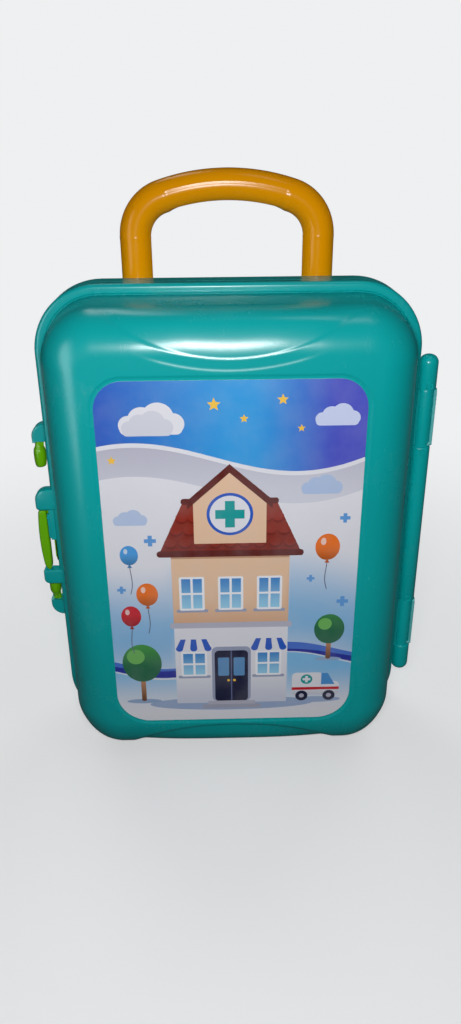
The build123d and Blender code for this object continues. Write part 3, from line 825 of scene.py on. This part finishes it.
for x in (-21, 19):
    print_shapes += window(x, 58, 14, 16)
    for i in range(5):
        stripe = BLUE if i % 2 == 0 else WHITE
        left = x - 9.5 + 3.8 * i
        corners = [(left, 76), (left + 3.8, 76), (x + 0.72 * (left + 3.8 - x), 82)]
        print_shapes.append(([*corners, (x + 0.72 * (left - x), 82)], stripe))
        print_shapes.append((disc(left + 1.9, 76, 1.9, 0.9, 20), stripe))
print_shapes += [
    (panel(-1, 41, 21, 36, 3.0), SILL),
    (panel(-1, 41, 18, 33.5, 2.4), NAVY),
    (panel(-5.2, 58, 6, 12, 0.8), DOOR_GLASS),
    (panel(3.2, 58, 6, 12, 0.8), DOOR_GLASS),
    (panel(-1, 41, 0.7, 33.5), ink(90, 100, 140)),
    (disc(-2.6, 55, 0.8, 1.0, 16), GOLD),
    (disc(0.6, 55, 0.8, 1.0, 16), GOLD),
    (panel(-1, 38.6, 26, 2.6, 0.6), GREY),
    (panel(-1, 36.2, 32, 2.6, 0.6), ink(160, 162, 182)),
]

print_shapes += [
    (disc(45, 41, 14, 0.14), SHADOW),
    (panel(45, 44, 26, 9, 2.5), fade(44, ink(196, 200, 214), 50, WHITE)),
    (panel(40.5, 50, 17, 9, 2.6), WHITE),
    ([(48, 51), (55.5, 51), (51.5, 58.5), (48, 58.5)], ink(70, 140, 205)),
    (panel(45, 47.5, 26, 1.8), RED),
    (disc(40, 54.6, 3.2, 1.0, 28), TEAL),
    (cross_shape(40, 54.6, 2.1, 0.75), WHITE),
    (disc(37.5, 43.6, 3.4, 1.0, 28), NAVY),
    (disc(37.5, 43.6, 1.4, 1.0, 20), GREY),
    (disc(52.5, 43.6, 3.4, 1.0, 28), NAVY),
    (disc(52.5, 43.6, 1.4, 1.0, 20), GREY),
]
for x, z, radius, colour, sway in (
    (-44, 110, 5.6, ORANGE, 1.0),
    (-53, 97, 5.2, RED, -1.0),
    (48, 136, 6.2, ORANGE, -1.2),
    (-52, 133, 4.6, ink(60, 150, 220), 1.2),
):
    print_shapes += balloon(x, z, radius, colour, sway)


def inside_label(x, z):
    """Whether a point lies within the label's rounded outline."""
    half_width, low, high, low_corner, high_corner = LABEL
    corner = high_corner if z > (low + high) / 2 else low_corner
    over_x = abs(x) - (half_width - corner)
    over_z = max(z - (high - corner), (low + corner) - z)
    if over_x > 0 and over_z > 0:
        return hypot(over_x, over_z) <= corner
    return over_x <= corner and over_z <= corner


def printed_sheet(shapes):
    """The label's mesh, cut along the edges of every printed shape, and each face's colour."""
    rim = [tuple(point) for point in outline(*LABEL)]
    spots = [Vector(point) for point in rim]
    faces = [list(range(len(rim)))]
    for points, _ in shapes:
        faces.append(list(range(len(spots), len(spots) + len(points))))
        spots += [Vector(point) for point in points]
    spots += [
        Vector((x, z))
        for x in np.arange(-62.0, 62.1, 4.0)
        for z in np.arange(30.0, 222.0, 4.0)
        if inside_label(x, z)
    ]
    cut = delaunay_2d_cdt(spots, [], faces, 0, 1e-4, True)
    flat, triangles, sources = cut[0], cut[2], cut[5]
    mesh = bmesh.new()
    front = [mesh.verts.new((p.x * MM, LABEL_FRONT * MM, p.y * MM)) for p in flat]
    colours = {}
    for triangle, source in zip(triangles, sources):
        if 0 not in source:
            continue
        face = mesh.faces.new([front[i] for i in triangle])
        top = max(source)
        colours[face] = shapes[max(top - 1, 0)][1]
    bmesh.ops.delete(mesh, geom=[v for v in front if not v.link_faces], context="VERTS")
    layer = mesh.loops.layers.float_color.new("print")
    for face, colour in colours.items():
        for loop in face.loops:
            x, z = loop.vert.co.x / MM, loop.vert.co.z / MM
            loop[layer] = (*(colour(x, z) if callable(colour) else colour), 1.0)
    rim_edges = [edge for edge in mesh.edges if len(edge.link_faces) == 1]
    behind = {}
    for edge in rim_edges:
        for v in edge.verts:
            if v not in behind:
                behind[v] = mesh.verts.new((v.co.x, LABEL_BACK * MM, v.co.z))
    for edge in rim_edges:
        near, far = edge.verts
        mesh.faces.new((near, far, behind[far], behind[near]))
    middle = (LABEL[1] + LABEL[2]) / 2 * MM
    mesh.faces.new(sorted(behind.values(), key=lambda v: atan2(v.co.z - middle, v.co.x)))
    for face in mesh.faces:
        if face not in colours:
            for loop in face.loops:
                loop[layer] = BARE_FILM
    return mesh


def printed_film(name):
    """Print under a satin coat: a little patchy, uneven in gloss and faintly rippled."""
    material = bpy.data.materials.new(name)
    material.use_nodes = True
    tree = material.node_tree
    shader = tree.nodes["Principled BSDF"]
    place = add_node(tree, "ShaderNodeTexCoord").outputs["Object"]
    inks = add_node(tree, "ShaderNodeVertexColor", {"layer_name": "print"}).outputs["Color"]
    patchy = ramp(tree, noise(tree, place, 70.0, 4.0), 0.3, 0.7, 0.0, 0.07)
    tree.links.new(
        mix_colour(tree, patchy, inks, (0.6, 0.6, 0.64, 1.0)), shader.inputs["Base Color"]
    )
    tree.links.new(
        ramp(tree, noise(tree, place, 30.0, 4.0), 0.3, 0.7, 0.3, 0.42),
        shader.inputs["Roughness"],
    )
    ripple = noise(tree, place, 35.0, 1.0)
    grain = noise(tree, place, 2500.0, 2.0)
    height = plus(tree, ripple, times(tree, grain, 0.05))
    bump = add_node(tree, "ShaderNodeBump", Height=height, Strength=0.4, Distance=0.0002)
    tree.links.new(bump.outputs[0], shader.inputs["Normal"])
    return material


label = finished("printed_label", printed_sheet(print_shapes), printed_film("printed_film"))
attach(label, "lid")
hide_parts("front_label")


# ---- carry handle --------------------------------------------------------------------------------
# A bent round tube of orange-yellow polypropylene, snapped into two sockets of the rear shell.
# Under the crown it's a little flatter for the fingers, with soft steps at both ends of the grip,
# and the mould's parting line runs along it.
HANDLE_ORANGE, RUBBED_ORANGE = (0.79, 0.312, 0.0), (0.85, 0.55, 0.15)
CROWN_TOP = 301.8
LEG_X = 45.6
LEG_Y = 21.6
LEG_FOOT = 236.3
TUBE = 7.7
BEND = 19.5
BEND_TURN = radians(72.0)
GRIP_END = 30.7
GRIP_STEP, GRIP_STEP_RUN, GRIP_EDGE = 0.24, 2.2, (0.16, 0.3)
UNDER_FLAT, UNDER_RUN = 0.9, 6.0
PARTING_LINE, PARTING_WIDTH = 0.09, 0.35
LEG_RING, LEG_RING_WIDTH = 0.08, 0.8
SNAP_BEAD, SNAP_BEAD_UP, SNAP_BEAD_WIDTH = 0.45, 8.5, 1.2


def handle_line():
    """Centre line of the tube in its plane: (x, z, direction of the outward normal) rows."""
    bend_end = LEG_X - BEND * (1 - cos(BEND_TURN))
    crown_radius = bend_end / cos(BEND_TURN)
    crown_centre = CROWN_TOP - crown_radius
    leg_top = crown_centre + crown_radius * sin(BEND_TURN) - BEND * sin(BEND_TURN)
    rows = [(LEG_X, z, 0.0) for z in np.arange(LEG_FOOT, leg_top, 0.6)]
    for turn in np.linspace(0.0, BEND_TURN, 40, endpoint=False):
        rows.append((LEG_X - BEND + BEND * cos(turn), leg_top + BEND * sin(turn), turn))
    for turn in np.linspace(BEND_TURN, pi / 2, 60):
        rows.append((crown_radius * cos(turn), crown_centre + crown_radius * sin(turn), turn))
    mirrored = [(-x, z, pi - turn) for x, z, turn in rows[-2::-1]]
    return rows + mirrored, leg_top


def hump(height, distance, width):
    """A smooth ridge of that height at distance 0."""
    return height * np.exp(-((distance / width) ** 2))


def handle_rings():
    """Rings round the tube, with the grip, the parting line and the snap beads of the legs."""
    rows, leg_top = handle_line()
    round_turns = np.linspace(0.0, 2 * pi, 96, endpoint=False)
    rings = []
    for x, z, outward in rows:
        off_centre = np.array(abs(x))
        grip = under = collar = 0.0
        if z > leg_top:
            grip = 1 - smooth_step(GRIP_END - GRIP_STEP_RUN, GRIP_END, off_centre)
            under = 1 - smooth_step(GRIP_END - UNDER_RUN, GRIP_END, off_centre)
        if outward < 1e-6 or abs(outward - pi) < 1e-6:
            collar = hump(LEG_RING, z - leg_top, LEG_RING_WIDTH)
            collar += hump(SNAP_BEAD, z - LEG_FOOT - SNAP_BEAD_UP, SNAP_BEAD_WIDTH)
        towards = np.cos(round_turns)
        radius = TUBE - GRIP_STEP * grip * (1 - smooth_step(*GRIP_EDGE, towards))
        out = radius * towards
        across = radius * np.sin(round_turns)
        flat = -(TUBE - UNDER_FLAT)
        out = np.where(out < flat, flat + (out - flat) * (1 - 0.9 * under), out)
        swell = 1 + (collar + hump(PARTING_LINE, across, PARTING_WIDTH)) / TUBE
        out, across = out * swell, across * swell
        rings.append(
            np.stack([x + out * cos(outward), LEG_Y + across, z + out * sin(outward)], 1)
        )
    return rings


orange_plastic = polypropylene("orange_polypropylene", HANDLE_ORANGE, RUBBED_ORANGE, 0.2, 0.16)
handle = rings_to_mesh("handle_tube", handle_rings(), orange_plastic)
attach(handle, "case")
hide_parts("carry_handle")


# ---- clasp ---------------------------------------------------------------------------------------
# One lime green moulding of polypropylene: two ears that turn on pins between the rear shell's
# hoods, a bar and a plate along the rim, and a bowed lever for the finger that snaps behind the
# lid's catch.
CLASP_LIME, RUBBED_LIME = (0.148, 0.475, 0.002), (0.4, 0.6, 0.2)
PIVOT = (-100.7, 4.4)
LEVER_LOW, LEVER_HIGH = MID - 24.4, MID + 11.5
LEVER_OUT, LEVER_IN, LEVER_BOW = SIDE + 7.4, SIDE + 3.8, 1.17
LEVER_FRONT, LEVER_BACK, LEVER_ROUND = -6.3, -1.3, 1.2
LEVER_TIP, LEVER_TOP = 0.1, 0.97
EAR_X = -101.6
EAR_FLATNESS = 0.79
PLATES = (
    ((-98.1, -96.9), (3.15, 5.65), (MID - 48.3, MID + 48.3), 0.3),
    ((-98.04, -96.96), (-1.55, 4.4), (LEVER_LOW + 3.4, LEVER_HIGH), 0.35, (0.5, 0.5, 0.5, 3.0)),
    ((-101.4, -97.5), (-2.3, -0.3), (MID - 2.5, LEVER_HIGH), 0.3),
)

# Radius and distance from mid-height along one ear and along one pin.
EAR = ((0.4, 33.7), (2.5, 33.7), (3.1, 33.95), (3.55, 34.6), (3.85, 36.0))
EAR += ((4.05, 38.0), (4.1, 40.0), (4.05, 42.0), (3.85, 43.2), (3.4, 44.2))
EAR += ((2.85, 45.1), (2.5, 46.0), (2.4, 47.2), (2.4, 48.1), (0.4, 48.2))
PIVOT_PIN = ((1.5, 40.0), (1.8, 47.6), (1.8, 53.0), (1.5, 53.2), (0.2, 53.2))


def lever_rows():
    """Rounded sections of the lever, from its lower end up."""
    tip = np.linspace(0.0, LEVER_TIP, 9)
    shaft = np.linspace(0.12, LEVER_TOP, 40)
    rows = []
    for share in (*tip, *shaft, 0.985, 1.0):
        z = LEVER_LOW + (LEVER_HIGH - LEVER_LOW) * share
        bow = 1 - (2 * share - 1) ** 2
        outer = LEVER_OUT + 0.6 * share + LEVER_BOW * bow
        inner = LEVER_IN - 0.1 * bow
        to_low = max(0.0, 1 - share / LEVER_TIP)
        to_high = max(0.0, (share - LEVER_TOP) / (1 - LEVER_TOP))
        narrow = 1.3 * (1 - sqrt(max(0.0, 1 - to_low**2))) + 0.35 * to_high
        outer -= 1.15 * narrow
        inner += 0.75 * narrow
        front, back = LEVER_FRONT + 0.5 * narrow, LEVER_BACK - 0.5 * narrow
        radius = 0.46 * (outer - inner) if to_low > 0.6 else LEVER_ROUND
        loop = rounded_rectangle(-outer, -inner, front, back, (radius,) * 4, 7)
        rows.append([(x, y, z) for x, y in loop])
    return rows


def ear_ring(radius, z):
    """An oval round the ear's middle."""
    turns = np.linspace(0.0, 2 * pi, 48, endpoint=False)
    return [
        (EAR_X + EAR_FLATNESS * radius * cos(turn), PIVOT[1] + radius * sin(turn), z)
        for turn in turns
    ]


clasp_mesh = bmesh.new()
for way in (1, -1):
    turned(clasp_mesh, PIVOT, [(radius, MID + way * up) for radius, up in PIVOT_PIN], 40)
    skin(clasp_mesh, [placed(clasp_mesh, ear_ring(radius, MID + way * up)) for radius, up in EAR])
for plate in PLATES:
    pad(clasp_mesh, *plate)
skin(clasp_mesh, [placed(clasp_mesh, row) for row in lever_rows()])
lime_plastic = polypropylene("lime_polypropylene", CLASP_LIME, RUBBED_LIME, 0.24)
clasp = finished("clasp_moulding", clasp_mesh, lime_plastic, 50.0)
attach(clasp, "clasp")
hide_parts("clasp")


# ---- floor, lights and camera --------------------------------------------------------------------
# A plain pale floor and soft lamps: a small one close above the front, a tall one at the left that
# shows only as a highlight, two above and two behind, in a faint even room light. The camera looks
# at the front from a little above.
BACKDROP = (0.86, 0.87, 0.88, 1.0)
FLOOR_COLOUR = (0.78, 0.79, 0.8, 1.0)
FLOOR_HALF = 30.0
ROOM_LIGHT, ROOM_SHINE = 0.11, 0.02
CAMERA_PLACE = (-0.00688, -0.388624, 0.317955)
YAW, PITCH, ROLL = 0.017857, 0.437364, -0.009384
LENS, SENSOR = 27.358, 36.0


def pale_floor(name):
    """A pale matt floor that fades, seen from far, into the backdrop's colour."""
    material = bpy.data.materials.new(name)
    material.use_nodes = True
    tree = material.node_tree
    matt = tree.nodes["Principled BSDF"]
    matt.inputs["Base Color"].default_value = FLOOR_COLOUR
    matt.inputs["Roughness"].default_value = 0.9
    place = add_node(tree, "ShaderNodeNewGeometry").outputs["Position"]
    away = add_node(tree, "ShaderNodeVectorMath", {"operation": "LENGTH"}, _0=place)
    far = ramp(tree, away.outputs["Value"], 0.1, 0.7, 0.5, 1.0)
    seen = add_node(tree, "ShaderNodeLightPath").outputs["Is Camera Ray"]
    bright = add_node(tree, "ShaderNodeEmission", _0=BACKDROP, _1=1.0)
    shown = add_node(
        tree, "ShaderNodeMixShader", _0=far, _1=matt.outputs[0], _2=bright.outputs[0]
    )
    calm = add_node(tree, "ShaderNodeBsdfDiffuse", Color=(0.09, 0.09, 0.09, 1.0))
    surface = add_node(
        tree, "ShaderNodeMixShader", _0=seen, _1=calm.outputs[0], _2=shown.outputs[0]
    )
    tree.links.new(surface.outputs[0], tree.nodes["Material Output"].inputs["Surface"])
    return material


def area_lamp(name, place, aim, size, watts, roll=0.0):
    """A soft oval lamp at place that faces aim, out of the camera's sight."""
    light = bpy.data.lights.new(name, "AREA")
    light.shape = "ELLIPSE"
    light.size, light.size_y = size
    light.energy = watts
    lamp = bpy.data.objects.new(name, light)
    lamp.visible_camera = False
    lamp.location = place
    facing = (Vector(aim) - Vector(place)).to_track_quat("-Z", "Y")
    lamp.rotation_euler = (facing @ Quaternion((0.0, 0.0, 1.0), roll)).to_euler()
    bpy.context.scene.collection.objects.link(lamp)
    return lamp


floor_mesh = bmesh.new()
for x, y in ((-1, -1), (1, -1), (1, 1), (-1, 1)):
    floor_mesh.verts.new((x * FLOOR_HALF, y * FLOOR_HALF, 0.0))
floor_mesh.faces.new(floor_mesh.verts)
floor = finished("floor", floor_mesh, pale_floor("pale_floor"))

area_lamp("key_lamp", (-0.012, -0.375, 0.321), (0.0, 0.0, 0.19), (0.085, 0.03), 1.17)
left_place, left_aim = (-0.353, -0.322, 0.235), (-0.073, -0.042, 0.2)
left_lamp = area_lamp("left_lamp", left_place, left_aim, (0.17, 0.5), 0.94, radians(28.0))
left_lamp.visible_diffuse = False
area_lamp("top_left_lamp", (-0.22, 0.5, 1.1), (-0.05, 0.0, 0.25), (0.2, 0.5), 0.74)
area_lamp("top_right_lamp", (0.225, -0.2, 1.2), (0.05, 0.0, 0.25), (0.12, 0.34), 0.42)
for way, name in ((-1, "back_left_lamp"), (1, "back_right_lamp")):
    back_lamp = area_lamp(name, (way * 0.52, 0.85, 0.36), (0.0, 0.0, 0.15), (0.6, 0.5), 5.2)
    back_lamp.visible_glossy = False

world = bpy.data.worlds.new("room")
world.use_nodes = True
room = world.node_tree
rays = add_node(room, "ShaderNodeLightPath")
backdrop = add_node(room, "ShaderNodeBackground", _0=BACKDROP, _1=1.0)
around = room.nodes["Background"]
around.inputs["Color"].default_value = (1.0, 1.0, 1.0, 1.0)
room.links.new(
    ramp(room, rays.outputs["Is Glossy Ray"], 0.0, 1.0, ROOM_LIGHT, ROOM_SHINE),
    around.inputs["Strength"],
)
shown = add_node(
    room,
    "ShaderNodeMixShader",
    _0=rays.outputs["Is Camera Ray"],
    _1=around.outputs[0],
    _2=backdrop.outputs[0],
)
room.links.new(shown.outputs[0], room.nodes["World Output"].inputs["Surface"])
bpy.context.scene.world = world
bpy.context.scene.view_settings.view_transform = "Standard"

ahead = Vector((sin(YAW) * cos(PITCH), cos(YAW) * cos(PITCH), -sin(PITCH)))
level = Vector((cos(YAW), -sin(YAW), 0.0))
upward = level.cross(ahead)
right = cos(ROLL) * level + sin(ROLL) * upward
above = cos(ROLL) * upward - sin(ROLL) * level
camera_data = bpy.data.cameras.new("camera")
camera_data.lens = LENS
camera_data.sensor_width = SENSOR
camera = bpy.data.objects.new("camera", camera_data)
turn = Matrix((right, above, -ahead)).transposed().to_4x4()
camera.matrix_world = Matrix.Translation(CAMERA_PLACE) @ turn
bpy.context.scene.collection.objects.link(camera)
bpy.context.scene.camera = camera
